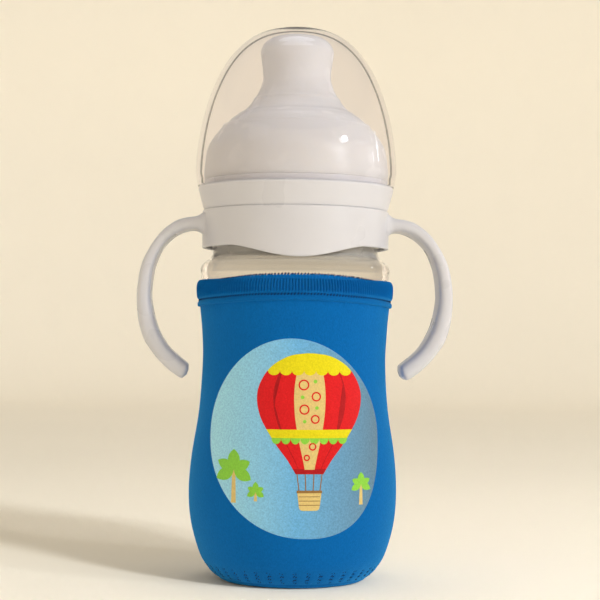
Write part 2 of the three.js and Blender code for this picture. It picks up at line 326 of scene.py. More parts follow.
def object_space(tree, stretch=(1, 1, 1)):
    where = add(tree, "TexCoord", {})
    return add(tree, "Mapping", {"Vector": where.outputs["Object"], "Scale": stretch}).outputs[0]


def noise(tree, where, size, detail=2.0, roughness=0.5):
    """A noise value whose features are about size mm wide."""
    settings = {"Vector": where, "Scale": 1 / (size * MM), "Detail": detail, "Roughness": roughness}
    return add(tree, "TexNoise", settings).outputs["Fac"]


def spread(tree, value, low, high, to_low, to_high):
    settings = {
        "Value": value, "From Min": low, "From Max": high, "To Min": to_low, "To Max": to_high,
    }
    return add(tree, "MapRange", settings).outputs[0]


def blended(tree, share, first, second):
    """The colour between first and second, by share."""
    mix = add(tree, "Mix", {0: share, 6: first, 7: second}, data_type="RGBA")
    return mix.outputs[2]


def shade(colour, factor):
    return (*(min(c * factor, 1) for c in colour), 1)


def mottled(tree, cloud, colour, darkest, lightest=1):
    """The colour, unevenly shaded between two factors by a cloudy noise."""
    share = spread(tree, cloud, 0.3, 0.7, 0, 1)
    return blended(tree, share, shade(colour, darkest), shade(colour, lightest))


def roughen(tree, shader, height, distance, strength=1.0):
    """Relief of distance mm on the shader's surface."""
    settings = {"Height": height, "Distance": distance * MM, "Strength": strength}
    bump = add(tree, "Bump", settings)
    tree.links.new(bump.outputs[0], shader.inputs["Normal"])


def cloth(name, colour, grain=0.45, relief=0.12, sheen=0.6, contrast=0.16, patchiness=0.1):
    """Knitted fabric: a fine diagonal grain in colour and relief over soft uneven patches."""
    material, tree, shader = start_material(
        name, Sheen_Weight=sheen, Sheen_Roughness=0.5, Sheen_Tint=(0.06, 0.5, 1, 1),
        Specular_IOR_Level=0.04,
    )
    slanted = object_space(tree, (1, 1, 0.6))
    fine = noise(tree, slanted, grain, 3, 0.6)
    broad = noise(tree, slanted, 14, 2)
    patches = spread(tree, broad, 0.3, 0.7, 0, patchiness)
    grains = spread(tree, fine, 0.25, 0.75, 0, 1 - patchiness)
    share = add(tree, "Math", {0: patches, 1: grains}, operation="ADD").outputs[0]
    dark, light = shade(colour, 1 - contrast), shade(colour, 1 + contrast)
    tree.links.new(blended(tree, share, dark, light), shader.inputs["Base Color"])
    tree.links.new(spread(tree, fine, 0.2, 0.8, 0.92, 0.74), shader.inputs["Roughness"])
    roughen(tree, shader, fine, relief, 0.8)
    return material


def printed(name, colour, speckle=0.5, later=()):
    """Ink on knitted fabric: the knit shows through as a light and dark speckle. The ink changes
    from colour at the print's -X edge through the later colours to the last at its +X edge."""
    material, tree, shader = start_material(
        name, Sheen_Weight=0.2, Sheen_Tint=(0.5, 0.75, 1, 1), Specular_IOR_Level=0.12,
    )
    where = object_space(tree)
    fine = noise(tree, where, 0.55, 2, 0.7)
    share = spread(tree, fine, 0.32, 0.68, 0, 1)
    dark, light = 1 - 0.3 * speckle, 1 + 0.3 * speckle
    ink = blended(tree, share, shade(colour, dark), shade(colour, light))
    across = add(tree, "SeparateXYZ", {0: where}).outputs["X"]
    stops = np.linspace(-PRINT_HALF_WIDTH, PRINT_HALF_WIDTH, len(later) + 1) * MM
    for start, end, following in zip(stops, stops[1:], later):
        way = spread(tree, across, start, end, 0, 1)
        next_ink = blended(tree, share, shade(following, dark), shade(following, light))
        ink = blended(tree, way, ink, next_ink)
    tree.links.new(ink, shader.inputs["Base Color"])
    tree.links.new(spread(tree, fine, 0.2, 0.8, 0.85, 0.65), shader.inputs["Roughness"])
    roughen(tree, shader, fine, 0.08, 0.7)
    return material


def thread_material(name, colour):
    """Twisted sewing thread."""
    material, tree, shader = start_material(name, Specular_IOR_Level=0.08)
    where = object_space(tree)
    fine = noise(tree, where, 0.25, 2)
    tree.links.new(mottled(tree, fine, colour, 0.6, 1.4), shader.inputs["Base Color"])
    tree.links.new(spread(tree, fine, 0.2, 0.8, 0.85, 0.6), shader.inputs["Roughness"])
    roughen(tree, shader, fine, 0.05)
    return material


def moulded_plastic(name, colour):
    """Satin moulded plastic with a faint orange-peel surface and slightly uneven gloss."""
    material, tree, shader = start_material(
        name, Subsurface_Weight=0.1, Subsurface_Radius=(0.9, 0.8, 0.7), Subsurface_Scale=2 * MM,
        Specular_IOR_Level=0.5,
    )
    where = object_space(tree)
    peel = noise(tree, where, 1.6, 2)
    cloud = noise(tree, where, 18, 2)
    tree.links.new(mottled(tree, cloud, colour, 0.975), shader.inputs["Base Color"])
    tree.links.new(spread(tree, cloud, 0.3, 0.7, 0.24, 0.34), shader.inputs["Roughness"])
    roughen(tree, shader, peel, 0.02, 0.4)
    return material


def silicone(name, colour):
    """Milky translucent silicone with a satin skin."""
    material, tree, shader = start_material(
        name, Subsurface_Weight=0.5, Subsurface_Radius=(1, 0.9, 0.8), Subsurface_Scale=5 * MM,
        Specular_IOR_Level=0.4,
    )
    where = object_space(tree)
    cloud = noise(tree, where, 9, 2)
    tree.links.new(mottled(tree, cloud, colour, 0.96), shader.inputs["Base Color"])
    tree.links.new(spread(tree, cloud, 0.3, 0.7, 0.2, 0.3), shader.inputs["Roughness"])
    roughen(tree, shader, noise(tree, where, 2.5, 2), 0.03, 0.3)
    glow = add(tree, "BsdfTranslucent", {"Color": shade(colour, 1)})
    both = add(tree, "MixShader", {0: 0.25, 1: shader.outputs[0], 2: glow.outputs[0]})
    tree.links.new(both.outputs[0], tree.nodes["Material Output"].inputs["Surface"])
    return material


def clear(name, colour, ior, through, wave, density, haze):
    """Clear glass or plastic that lets light on to what it covers. Its body refracts weakly,
    under a skin that reflects as the real one does. through is the colour of light that
    passes one surface, wave the depth in mm of the moulding's faint ripples, and density how
    much each metre of the wall takes away, which greys its edges. haze is how milky it is
    below and above the heights in GLASS_HAZE."""
    material, tree, shader = start_material(
        name, Base_Color=(*colour, 1), IOR=ior, Transmission_Weight=1, Coat_Weight=0.6,
        Coat_Roughness=0.02, Coat_IOR=1.45,
    )
    where = object_space(tree)
    ripple = noise(tree, where, 16, 1)
    tree.links.new(spread(tree, ripple, 0.3, 0.7, 0, 0.2 * wave), shader.inputs["Roughness"])
    up = add(tree, "SeparateXYZ", {0: where}).outputs["Z"]
    start, full = (height * MM for height in GLASS_HAZE)
    clearness = spread(tree, up, start, full, 1 - haze[0], 1 - haze[1])
    tree.links.new(clearness, shader.inputs["Transmission Weight"])
    roughen(tree, shader, ripple, wave, 0.5)
    ray = add(tree, "LightPath", {})
    passing = add(tree, "BsdfTransparent", {"Color": (*through, 1)})
    either = add(tree, "MixShader", {
        0: ray.outputs["Is Shadow Ray"], 1: shader.outputs[0], 2: passing.outputs[0],
    })
    output = tree.nodes["Material Output"]
    tree.links.new(either.outputs[0], output.inputs["Surface"])
    grey = add(tree, "VolumeAbsorption", {"Color": (0.75, 0.73, 0.78, 1), "Density": density})
    tree.links.new(grey.outputs[0], output.inputs["Volume"])
    return material


BLUE = (0.002, 0.115, 0.4)
# Near-black navy thread: partly the thread's own colour, partly painted shade of the needle holes.
NAVY_AND_HOLE_SHADE = (0.004, 0.02, 0.07)
SKY = (0.4, 0.76, 1)
SKY_MIDDLE = (0.15, 0.43, 0.74)
SKY_FAR = (0.12, 0.21, 0.29)
RED = (0.68, 0.012, 0.014)
DARK_RED = (0.42, 0.01, 0.012)
YELLOW = (0.76, 0.66, 0.008)
GREEN = (0.26, 0.62, 0.06)
TAN = (0.72, 0.54, 0.2)
BROWN = (0.3, 0.16, 0.05)
WHITE = (0.63, 0.625, 0.67)

fabric_blue = cloth("sleeve neoprene", BLUE)
fabric_hem = cloth("hem binding fabric", shade(BLUE, 0.92)[:3], grain=0.35, relief=0.1)
fabric_lip = cloth("overlocked edge", shade(BLUE, 1.1)[:3], grain=0.3, relief=0.15)
# The needle thread's near-black colour is partly painted shade of the needle holes.
thread_and_hole_shade = thread_material("needle thread and painted hole shade", NAVY_AND_HOLE_SHADE)
thread_blue = thread_material("seam thread", shade(BLUE, 0.6)[:3])
print_sky = printed("print sky", SKY, later=(SKY_MIDDLE, SKY_FAR))
plastic_white = moulded_plastic("white plastic", WHITE)
silicone_white = silicone("teat silicone", (0.9, 0.885, 0.895))
clear_glass = clear(
    "clear glass", colour=(0.95, 0.93, 0.89), ior=1.08, through=(0.98, 0.98, 0.97), wave=0.05,
    density=90, haze=(0.01, 0.27),
)
clear_cap = clear(
    "clear cap plastic", colour=(0.965, 0.95, 0.96), ior=1.02, through=(0.99, 0.985, 0.985),
    wave=0.002, density=20, haze=(0.02, 0.02),
)


# ---- sleeve ----------------------------------------------------------------------------

skin_line = spline([*SLEEVE_OUTLINE, (31.3, 91.6)], 12)


def skin(angle, height):
    """The sleeve's outside radius: its outline with the dip of the back seam, the puckers
    round the bottom stitches and the slight unevenness of stretched fabric."""
    radius = np.interp(height, skin_line[:, 1], skin_line[:, 0])
    from_back = np.abs((angle % TURN) - math.pi) * radius
    seam = 0.45 * np.exp(-((from_back / 1.1) ** 2))
    group = (0.5 + 0.5 * np.cos(BASE_STITCH_GROUPS * angle)) ** 3
    pucker = 0.28 * group * np.exp(-(((height - 3.6) / 1.9) ** 2))
    hem_pull = 0.1 * np.cos(31 * angle + 2 * np.sin(3 * angle)) * np.exp((height - 91.6) / 3)
    uneven = 0.1 * np.sin(2 * angle + height / 17) * np.sin(height / 9 + np.sin(3 * angle))
    fade = np.clip(height / 10, 0, 1) * np.clip((88.6 - height) / 10, 0, 1)
    return radius - seam - pucker + hem_pull + uneven * fade


def sleeve_body():
    """The padded tube, closed under the binding and lined down to the base seam."""
    outside = resampled(skin_line, 118)
    angle = circle(368)
    outer = place(angle[None, :], skin(angle[None, :], outside[:, 1:2]), outside[:, 1:2])
    tuck = np.array([(30.8, 91.9), (30.4, 92.8), (30.9, 95), (31.1, 96.2), (31.0, 96.6)])
    lining = offset(spline(GLASS_UNDERCUT[:5], 3), 0.3)[::-1]
    inner = offset(resampled(skin_line, 40), -SLEEVE_THICKNESS)
    low = inner[:, 1] < 88
    inner = inner[(inner[:, 0] > BASE_PANEL_RADIUS + 0.6) & (inner[:, 1] > 4) & low][::-1]
    seam = np.array([(BASE_PANEL_RADIUS + 0.3, 3.6), (BASE_PANEL_RADIUS + 0.3, 1.8)])
    inside = turned(np.vstack([tuck, lining[lining[:, 1] < 96.4], inner, seam]), len(angle))
    return skin_over("sleeve_body", np.concatenate([outer, inside]), fabric_blue)


def droop(angle, height):
    """How far the lower half of the hem hangs below its height at the front and back."""
    share = np.clip((BINDING_TOP - 0.6 - height) / 3.6, 0, 1)
    share = share * share * (3 - 2 * share)
    return HEM_DROOP * np.sin(angle) ** 2 * share


def hem_shape(angle, radius, height):
    """Upright thread ribs over the top half of the binding, and its droop at the sides."""
    outer = np.clip((radius - HEM_GROOVE_RADIUS) / 0.4, 0, 1)
    rise = np.clip((height - 93.3) / 0.5, 0, 1) * np.clip((ROLL_TOP - height) / 0.5, 0, 1)
    slant = 0.02 * (height - 95) * np.sin(3 * angle)
    groove = 0.5 + 0.5 * np.cos(HEM_RIBS * (angle + slant / 10))
    wave = 0.06 * np.sin(17 * angle + 1.3 * np.sin(5 * angle))
    radius = radius + outer * (0.16 * wave - 0.65 * groove * rise)
    return radius, height - droop(angle, height)


def hem_roll():
    outside = spline([
        (30.9, 90.8), (31.4, 90.55), (31.85, 90.65), (32, 91.1), (31.95, 91.8), (31.6, 92.3),
        (31.6, 92.8), (32.05, 93.25), (32.33, 94), (32.4, 95), (32.35, 96), (32.05, 96.85),
        (31.6, ROLL_TOP), (31.3, ROLL_TOP - 0.1), (31.15, 96.6),
    ], 3)
    inside = np.array([(31.2, 95.4), (30.8, 93.6), (30.6, 92.2), (30.6, 91.3)])
    grid = turned(np.vstack([outside, inside]), 8 * HEM_RIBS, hem_shape)
    return skin_over("hem_roll", grid, fabric_hem, crease=70)


def lip_height(angle):
    """The overlocked edge stands above the binding at the front and back, and dips into it
    at the sides."""
    return LIP_TOP - 3 * np.abs(np.sin(angle)) ** 2.3


def lip_shape(angle, radius, height):
    top = np.clip((height - 97) / 1.5, 0, 1)
    teeth = 0.5 + 0.5 * np.sin(HEM_STITCHES * angle + np.sin(7 * angle))
    rise = (lip_height(angle) - LIP_BOTTOM) / (LIP_TOP - LIP_BOTTOM)
    height = LIP_BOTTOM + (height - LIP_BOTTOM) * rise - 0.5 * top * rise * teeth**2
    return radius + 0.12 * teeth * top, height


def hem_lip():
    outline = rounded([
        (30.6, LIP_BOTTOM, 0.2), (31.2, LIP_BOTTOM, 0.2), (31.3, 97.3, 0.5), (31.6, LIP_TOP, 0.3),
        (31.2, LIP_TOP, 0.3), (31.0, 97.6, 0.5),
    ], 3)
    return skin_over("hem_lip", turned(outline, 8 * HEM_STITCHES, lip_shape), fabric_lip)


def lip_threads(draw):
    """Overlock thread wrapped over the edge, one loop for each tooth."""
    paths = []
    for i in range(HEM_STITCHES):
        angle = TURN * (i + draw.uniform(-0.15, 0.15)) / HEM_STITCHES
        top = lip_height(angle) + draw.uniform(-0.05, 0.1)
        loop = [(31.5, -0.5), (31.64, -0.25), (31.6, 0), (31.4, 0.05), (31.2, -0.1), (31.05, -0.5)]
        lean = draw.uniform(0.1, 0.4) / loop[0][0]
        paths.append([
            place(angle + lean * k / 5, radius, top + rise) for k, (radius, rise) in enumerate(loop)
        ])
    return threads("lip_threads", paths, 0.45, thread_and_hole_shade)


def hem_stitches(draw):
    """The slanted needle stitches in the groove under the ribs."""
    paths = []
    for i in range(HEM_STITCHES):
        angle = TURN * i / HEM_STITCHES
        half = 0.5 + draw.uniform(-0.06, 0.06)
        lean = 0.3 / 32
        path = []
        for t in np.linspace(-1, 1, 6):
            height = HEM_STITCH_HEIGHT + 0.12 * math.sin(9 * angle) + t * half
            height -= HEM_DROOP * math.sin(angle) ** 2
            radius = HEM_GROOVE_RADIUS + 0.12 * (1 - t * t) - 0.1 * math.sin(angle) ** 2
            path.append(place(angle + lean * t, radius, height))
        paths.append(path)
    # Thread made near black, partly as painted shade of the needle holes.
    return threads("hem_stitches", paths, 0.4, thread_and_hole_shade)


def base_stitches(draw):
    """Groups of short slanted dashes that hold the base panel, sunk in their puckers."""
    marks = [  # across, height, half length, lean
        (-0.42, 5.4, 0.16, 0.12), (0.42, 5.35, 0.16, -0.12),
        (-0.25, 4.35, 0.4, 0.42), (0.5, 4.25, 0.32, 0.36),
        (-0.4, 3.2, 0.36, 0.38), (0.3, 3.15, 0.3, 0.34),
        (-0.3, 2.2, 0.18, -0.14), (0.3, 2.15, 0.18, 0.14),
    ]
    paths = []
    for i in range(BASE_STITCH_GROUPS):
        middle = TURN * i / BASE_STITCH_GROUPS
        tilt = draw.uniform(-0.25, 0.25)
        for across, height, half, lean in marks:
            if draw.random() < 0.1:
                continue
            height += draw.uniform(-0.15, 0.15)
            path = []
            for t in np.linspace(-1, 1, 5):
                z = height + t * half
                radius = float(skin(middle, z))
                side = across + tilt * (height - 3.5) * 0.4 + lean * t
                path.append(place(middle + side / radius, radius + 0.02, z))
            paths.append(path)
    return threads("base_stitches", paths, 0.33, thread_and_hole_shade, sides=5)


def base_panel():
    """The round base panel, slightly dished, with a pressed ring where it is sewn in."""
    r = BASE_PANEL_RADIUS
    outline = np.array([
        (0, 0.25), (8, 0.22), (16, 0.12), (20.3, 0.02), (21.8, 0.0), (23, 0.15), (24, 0.6),
        (r, 1.4), (r, 1.9), (r - 0.4, 2.45), (r - 1.2, SLEEVE_THICKNESS), (12, SLEEVE_THICKNESS),
        (0, SLEEVE_THICKNESS),
    ])
    grid = turned(outline, 184)
    return skin_over("base_panel", grid, fabric_blue, close_rows=False, crease=60)


def back_seam():
    """Flatlock stitching down the back: two needle lines joined by slanting cover threads."""
    paths = []
    pitch = 1.9
    reach = SEAM_HALF_WIDTH - 0.3
    for i in range(int((SEAM_TOP - SEAM_BOTTOM) / pitch)):
        low = SEAM_BOTTOM + i * pitch
        for side in (-reach, reach):
            path = []
            for t in np.linspace(0, 0.8, 6):
                z = low + t * pitch
                radius = float(skin(math.pi + 0.2, z)) + 0.12
                path.append(place(math.pi + side / radius, radius, z))
            paths.append(path)
        for down in (0, 1):
            path = []
            for t in np.linspace(0, 1, 6):
                side = reach * (2 * t - 1)
                z = low + pitch * (0.5 * t if down else 1 - 0.5 * t)
                radius = float(skin(math.pi + side / 31, z)) + 0.14 + 0.06 * down
                path.append(place(math.pi + side / radius, radius, z))
            paths.append(path)
    return threads("back_seam", paths, 0.42, thread_blue)


# ---- print -----------------------------------------------------------------------------


def on_front(across, height, lift):
    """A point on the front of the sleeve, seen straight from the front, lifted off the skin."""
    across, height = np.asarray(across, float), np.asarray(height, float)
    angle = np.zeros_like(across)
    for _ in range(4):
        radius = skin(angle, height) + lift
        angle = np.arcsin(np.clip(across / radius, -1, 1))
    return place(angle, radius, height)


def print_ground():
    """The light oval that carries the print, with a soft edge. Its lower half is fuller and
    leans to +X, its upper half a little to -X."""
    top = [(share, PRINT_RAISED) for share in (0, *np.linspace(0.12, 0.97, 14))]
    edge = [(0.985, PRINT_RAISED * 0.9), (0.995, PRINT_RAISED * 0.5), (1, -0.05)]
    under = [(share, -0.25) for share in (0.99, 0.8, 0.6, 0.4, 0.2, 0)]
    angle = circle(220)
    fuller = np.where(np.cos(angle) > 0, 0.87, 1)
    side = np.sign(np.sin(angle)) * np.abs(np.sin(angle)) ** fuller
    down = np.sign(np.cos(angle)) * np.abs(np.cos(angle)) ** fuller
    rows = []
    for share, lift in top + edge + under:
        lean = PRINT_LEAN * (share * down.clip(0)) ** 2 - 1.3 * (share * down.clip(max=0)) ** 2
        across = share * (PRINT_HALF_WIDTH - 0.6) * side + lean - 0.4
        height = PRINT_CENTRE - share * PRINT_HALF_HEIGHT * down
        rows.append(on_front(across, height, lift))
    return skin_over("print_ground", np.array(rows), print_sky, close_rows=False)


def film(name, outlines, material, level):
    """A thin film of ink on the print: each outline is a list of (across, height) points.
    It follows the sleeve in steps of a few millimetres, and higher levels lie on lower ones."""
    work = bmesh.new()
    for outline in outlines:
        work.faces.new([work.verts.new((across, 0, height)) for across, height in outline])
    bmesh.ops.triangulate(work, faces=work.faces)
    step = 2.0
    for axis in (0, 2):
        values = [v.co[axis] for v in work.verts]
        first = math.floor(min(values) / step) + 1
        for k in range(first, math.ceil(max(values) / step)):
            point, normal = Vector((0, 0, 0)), Vector((0, 0, 0))
            point[axis], normal[axis] = k * step, 1
            everything = [*work.verts, *work.edges, *work.faces]
            bmesh.ops.bisect_plane(work, geom=everything, plane_co=point, plane_no=normal)
    bmesh.ops.triangulate(work, faces=work.faces)
    top = PRINT_RAISED + 0.035 * level
    flat = list(work.verts)
    raised = bmesh.ops.extrude_face_region(work, geom=list(work.faces), use_keep_orig=True)
    upper = [v for v in raised["geom"] if isinstance(v, bmesh.types.BMVert)]
    for group, lift in ((flat, PRINT_RAISED - 0.06), (upper, top)):
        points = on_front([v.co.x for v in group], [v.co.z for v in group], lift)
        for vertex, point in zip(group, points):
            vertex.co = point * MM
    bmesh.ops.recalc_face_normals(work, faces=work.faces)
    mesh = bpy.data.meshes.new(name)
    work.to_mesh(mesh)
    work.free()
    return as_object(name, mesh, material)


def disc(across, height, radius, points=20):
    return [
        (across + radius * math.sin(a), height - radius * math.cos(a)) for a in circle(points)
    ]


BALLOON_X = 4.0
BALLOON_SIDE = [
    (0, 74.2), (6.5, 73.2), (12.6, 69.3), (16.2, 62.5), (15.6, 55), (11.6, 47.4), (6.6, 40.6),
    (4.2, 36.6),
]


def balloon_half_width(height):
    line = spline(BALLOON_SIDE, 8)[::-1]
    return float(np.interp(height, line[:, 1], line[:, 0]))


def balloon_panel(left, right, low, high, steps=18):
    """The part of the envelope between two shares of its half width and two heights."""
    levels = np.linspace(low, high, steps)
    rise = [(BALLOON_X + right * balloon_half_width(z), z) for z in levels]
    fall = [(BALLOON_X + left * balloon_half_width(z), z) for z in levels[::-1]]
    return rise + fall


def scallops(height, depth, count):
    """A row of hanging round tabs across the envelope."""
    half = balloon_half_width(height)
    width = 2 * half / count
    return [
        [(BALLOON_X - half + width * (i + 0.5 - 0.5 * math.cos(a)), height - depth * math.sin(a))
         for a in np.linspace(0, math.pi, 10)]
        for i in range(count)
    ]


def leafy_tree(across, foot, top, size, trunk):
    """A trunk that narrows upwards and a crown of rounded leaves, size long."""
    stem = [(across - trunk, foot), (across + trunk, foot), (across + trunk * 0.6, top),
            (across - trunk * 0.6, top)]
    leaves = []
    for i, turn in enumerate((-2.1, -1.1, 0, 1.1, 2.1)):
        reach = size * (1 if i % 2 == 0 else 0.9)
        direction = np.array((math.sin(turn), math.cos(turn)))
        side = np.array((direction[1], -direction[0]))
        outline = []
        for sign, steps in ((1, np.linspace(0, 1, 9)), (-1, np.linspace(1, 0, 9)[1:-1])):
            for t in steps:
                bulge = 0.3 * reach * math.sin(math.pi * t) ** 0.8
                outline.append(direction * reach * t + sign * side * bulge)
        leaves.append([(across + x, top + z - 0.2 * size) for x, z in outline])
    return stem, leaves


def print_motif():
    """A striped hot-air balloon with a basket over three small trees."""
    ink = {
        name: printed("ink " + name, colour, 0.3)
        for name, colour in {
            "red": RED, "dark red": DARK_RED, "yellow": YELLOW, "green": GREEN, "tan": TAN,
            "brown": BROWN,
        }.items()
    }
    mouth, crown, top = 36.8, 68.6, 74.1
    band_low, band_high = 47.8, 50.4
    trees = [
        leafy_tree(-19.4, 27.4, 39.0, 6.2, 0.75), leafy_tree(-12.6, 28.2, 31.8, 3.0, 0.5),
        leafy_tree(20.4, 27.0, 34.2, 3.6, 0.6),
    ]
    spots = [(-1.9, 64.2, 1.7), (2.0, 60.6, 1.5), (-1.7, 56.6, 1.6), (1.7, 53.6, 1.4),
             (0.9, 45.2, 1.2), (-0.9, 41.8, 1.0)]
    dots = [(1.7, 65.3, 0.6), (-2.3, 60.4, 0.6), (2.2, 57.1, 0.55), (-1.6, 52.9, 0.55)]
    ropes = [
        [(BALLOON_X + s * 3.9 - 0.16, 36.9), (BALLOON_X + s * 3.9 + 0.16, 36.9),
         (BALLOON_X + s * 3.2 + 0.16, 31.2), (BALLOON_X + s * 3.2 - 0.16, 31.2)]
        for s in (-1, -0.35, 0.35, 1)
    ]
    basket = [(x, z) for x, z in rounded([
        (BALLOON_X - 3.8, 31.4, 0.5), (BALLOON_X - 3.1, 25.6, 1.2), (BALLOON_X + 3.1, 25.6, 1.2),
        (BALLOON_X + 3.8, 31.4, 0.5),
    ], 4)]
    layers = [
        ("envelope", "red", 1, [balloon_panel(-1, 1, mouth, top, 40)]),
        ("trunks", "tan", 1, [stem for stem, _ in trees]),
        ("ropes", "brown", 1, ropes),
        ("gore", "tan", 2, [balloon_panel(-0.3, 0.3, 38.2, crown + 1, 26)]),
        ("gore_lines", "dark red", 2, [
            balloon_panel(s - 0.012, s + 0.012, 37.4, crown + 0.5, 26) for s in (-0.68, 0.68)
        ]),
        ("crown", "yellow", 3, [
            balloon_panel(-1, 1, crown, top, 16), *scallops(crown + 0.05, 1.5, 7),
        ]),
        ("band", "yellow", 3, [balloon_panel(-1, 1, band_low, band_high, 6)]),
        ("band_tabs", "green", 3, scallops(band_low, 1.9, 8)),
        ("skirt", "dark red", 2, [balloon_panel(-1, 1, mouth, 38.4, 4)]),
        ("gore_discs", "red", 3, [disc(BALLOON_X + x, z, r) for x, z, r in spots]),
        ("gore_hearts", "tan", 4, [disc(BALLOON_X + x, z, r - 0.45) for x, z, r in spots]),
        ("gore_dots", "green", 3, [disc(BALLOON_X + x, z, r, 12) for x, z, r in dots]),
        ("basket", "tan", 2, [basket]),
        ("basket_rim", "brown", 3, [
            [(BALLOON_X - 3.95, 31.0), (BALLOON_X + 3.95, 31.0), (BALLOON_X + 3.95, 31.8),
             (BALLOON_X - 3.95, 31.8)],
            *[[(BALLOON_X - 3.3, z), (BALLOON_X + 3.3, z), (BALLOON_X + 3.3, z + 0.22),
               (BALLOON_X - 3.3, z + 0.22)] for z in (27.2, 28.5, 29.8)],
        ]),
        ("leaves", "green", 2, [leaf for _, leaves in trees for leaf in leaves]),
    ]
    return [
        film("print_" + name, outlines, ink[colour], level)
        for name, colour, level, outlines in layers
    ]


# ---- glass, plastic and silicone -------------------------------------------------------


def thread_lift(angle, height, bottom):
    """How far a right-hand thread bead stands off its wall. It starts on the +X side."""
    turn = (angle - math.pi / 2) % TURN
    lift = np.zeros_like(height)
    for k in (0, 1):
        along = (turn + k * TURN) / (TURN * THREAD_TURNS)
        ends = np.clip(np.minimum(along, 1 - along) * 14, 0, 1)
        middle = bottom + THREAD_PITCH * THREAD_TURNS * along
        square = THREAD_BEAD**2 - (height - middle) ** 2
        lift = np.maximum(lift, np.where(along <= 1, np.sqrt(np.clip(square, 0, None)) * ends, 0))
    return lift


def bottle_glass():
    body = offset(resampled(skin_line, 90), -SLEEVE_THICKNESS - 0.3)
    outside_body = body[(body[:, 1] > 6) & (body[:, 1] < 86)]
    heel = spline([(0, 4.3), (17, 4.1), (20, 2.8), (21.6, 2.8), (23.6, 3.4), (25, 4.9)], 6)
    finish = rounded([
        (27.3, 106.1, 0), (27.1, 108.7, 0.8), (28.9, 108.9, 0.5), (28.9, 110.4, 0.6),
        (NECK_RADIUS, 110.9, 0.6), (NECK_RADIUS, 113, 0),
    ])
    threaded = [(NECK_RADIUS, z) for z in np.arange(113.2, 122.4, THREAD_ROW)]
    mouth = rounded([
        (NECK_RADIUS, 122.4, 0), (NECK_RADIUS, NECK_TOP, 0.9), (NECK_BORE, NECK_TOP, 0.9),
        (NECK_BORE, 110, 0),
    ])
    inside_shoulder = spline([
        (NECK_BORE, 110), (24.4, 108.2), (25.4, 106.2), (27, 104.3), (28.3, 102.9),
        (28.9, 101.6), (28.95, 99.8), (28.6, 97.5), (27.8, 95.4), (27.1, 93.8), (26.5, 92.9),
        (26.2, 92.4),
    ])
    inside_body = offset(outside_body, -GLASS_WALL)
    inside_body = inside_body[inside_body[:, 1] > 11][::-1]
    floor = spline([(24.6, 9.4), (22.4, 7.6), (19, 6.8), (0, 7.8)], 6)
    outline = np.vstack([
        heel, outside_body, spline([*GLASS_UNDERCUT, *GLASS_SHOULDER], 6), finish, threaded,
        mouth, inside_shoulder[1:], inside_body, floor,
    ])

    def shape(angle, radius, height):
        wall = (radius > NECK_RADIUS - 0.01) & (height > 113) & (height < 122.5)
        return radius + np.where(wall, thread_lift(angle, height, THREAD_BOTTOM), 0), height

    grid = turned(outline, 192, shape)
    return skin_over("bottle_glass", grid, clear_glass, close_rows=False, crease=55)


def lobe_dip(angle):
    """How far the ring's lower edge hangs down in its front and back lobes."""
    across = np.abs(np.sin(angle)) / math.sin(LOBE_HALF_ANGLE)
    depth = np.where(np.cos(angle) > 0, LOBE_DEPTH, BACK_LOBE_DEPTH)
    return depth * np.cos(math.pi / 2 * np.clip(across, 0, 1)) ** 1.4


def ring_band():
    outline = rounded([
        (RING_OUTER, RING_EDGE, 0.45), (RING_OUTER, LOBE_TOP, 0), (RING_OUTER, RING_TOP, 0.6),
        (RING_INNER, RING_TOP, 0.3), (RING_INNER, 111.9, 0.1), (27.8, 111.9, 0.3),
        (27.8, 110.7, 0.3), (RING_INNER, 110.7, 0.1), (RING_INNER, LOBE_TOP, 0),
        (RING_INNER, RING_EDGE, 0.45),
    ])

    def shape(angle, radius, height):
        return radius, height - lobe_dip(angle) * np.clip((LOBE_TOP - height) / 1.8, 0, 1)

    return turned(outline, 240, shape)


def strap_section(half_thickness, half_width, corner):
    """A rounded rectangle as (thickness, width) pairs, with slightly crowned faces."""
    corner = min(corner, 0.9 * half_thickness)
    points = []
    for quarter, (t, w) in enumerate(((1, 1), (-1, 1), (-1, -1), (1, -1))):
        centre = np.array((t * (half_thickness - corner), w * (half_width - corner)))
        for turn in np.linspace(0, math.pi / 2, 7):
            a = quarter * math.pi / 2 + turn
            points.append(centre + corner * np.array((math.cos(a), math.sin(a))))
    ends = np.array(points)
    crown = 1 + 0.05 * (1 - (ends[:, 1] / half_width) ** 2)
    return ends * np.stack([crown, np.ones(len(ends))], axis=1)


def strap(side):
    """One C-shaped handle, from inside the ring's wall to its rounded free end."""
    count = 96
    outside = resampled(spline(HANDLE_OUTSIDE), count)
    inside = resampled(spline(HANDLE_INSIDE), count)
    middle = (outside + inside) / 2
    thick = np.linalg.norm(outside - inside, axis=1) / 2
    run = np.concatenate([[0], np.cumsum(np.linalg.norm(np.diff(middle, axis=0), axis=1))])
    end_round, flare, corner = 1.5, 1.8, 2.4
    fitting_length = 6  # over which the strap's end takes the ring's curve
    reach = RING_OUTER - 0.6
    rows = []
    for i in range(count):
        from_end = run[-1] - run[i]
        inset = end_round - math.sqrt(end_round**2 - max(end_round - from_end, 0) ** 2)
        near_ring = max(flare - max(middle[i][0] - RING_OUTER, 0), 0)
        widen = flare - math.sqrt(flare**2 - min(near_ring, flare) ** 2)
        across = (outside[i] - inside[i]) / (2 * thick[i])
        section = strap_section(thick[i] - inset, HANDLE_HALF_WIDTH - inset + widen, corner)
        fitting = max(1 - run[i] / fitting_length, 0)
        points = []
        for t, w in section:
            x, z = middle[i] + across * t
            x += (math.sqrt(reach**2 - w**2) - reach) * fitting
            points.append((side * x, side * w, min(z, RING_TOP)))
        rows.append(points)
    first, last = np.array(rows[0]), np.array(rows[-1])
    caps = [np.repeat(row.mean(axis=0)[None], len(row), axis=0) for row in (first, last)]
    return np.array([caps[0], *rows, caps[1]])


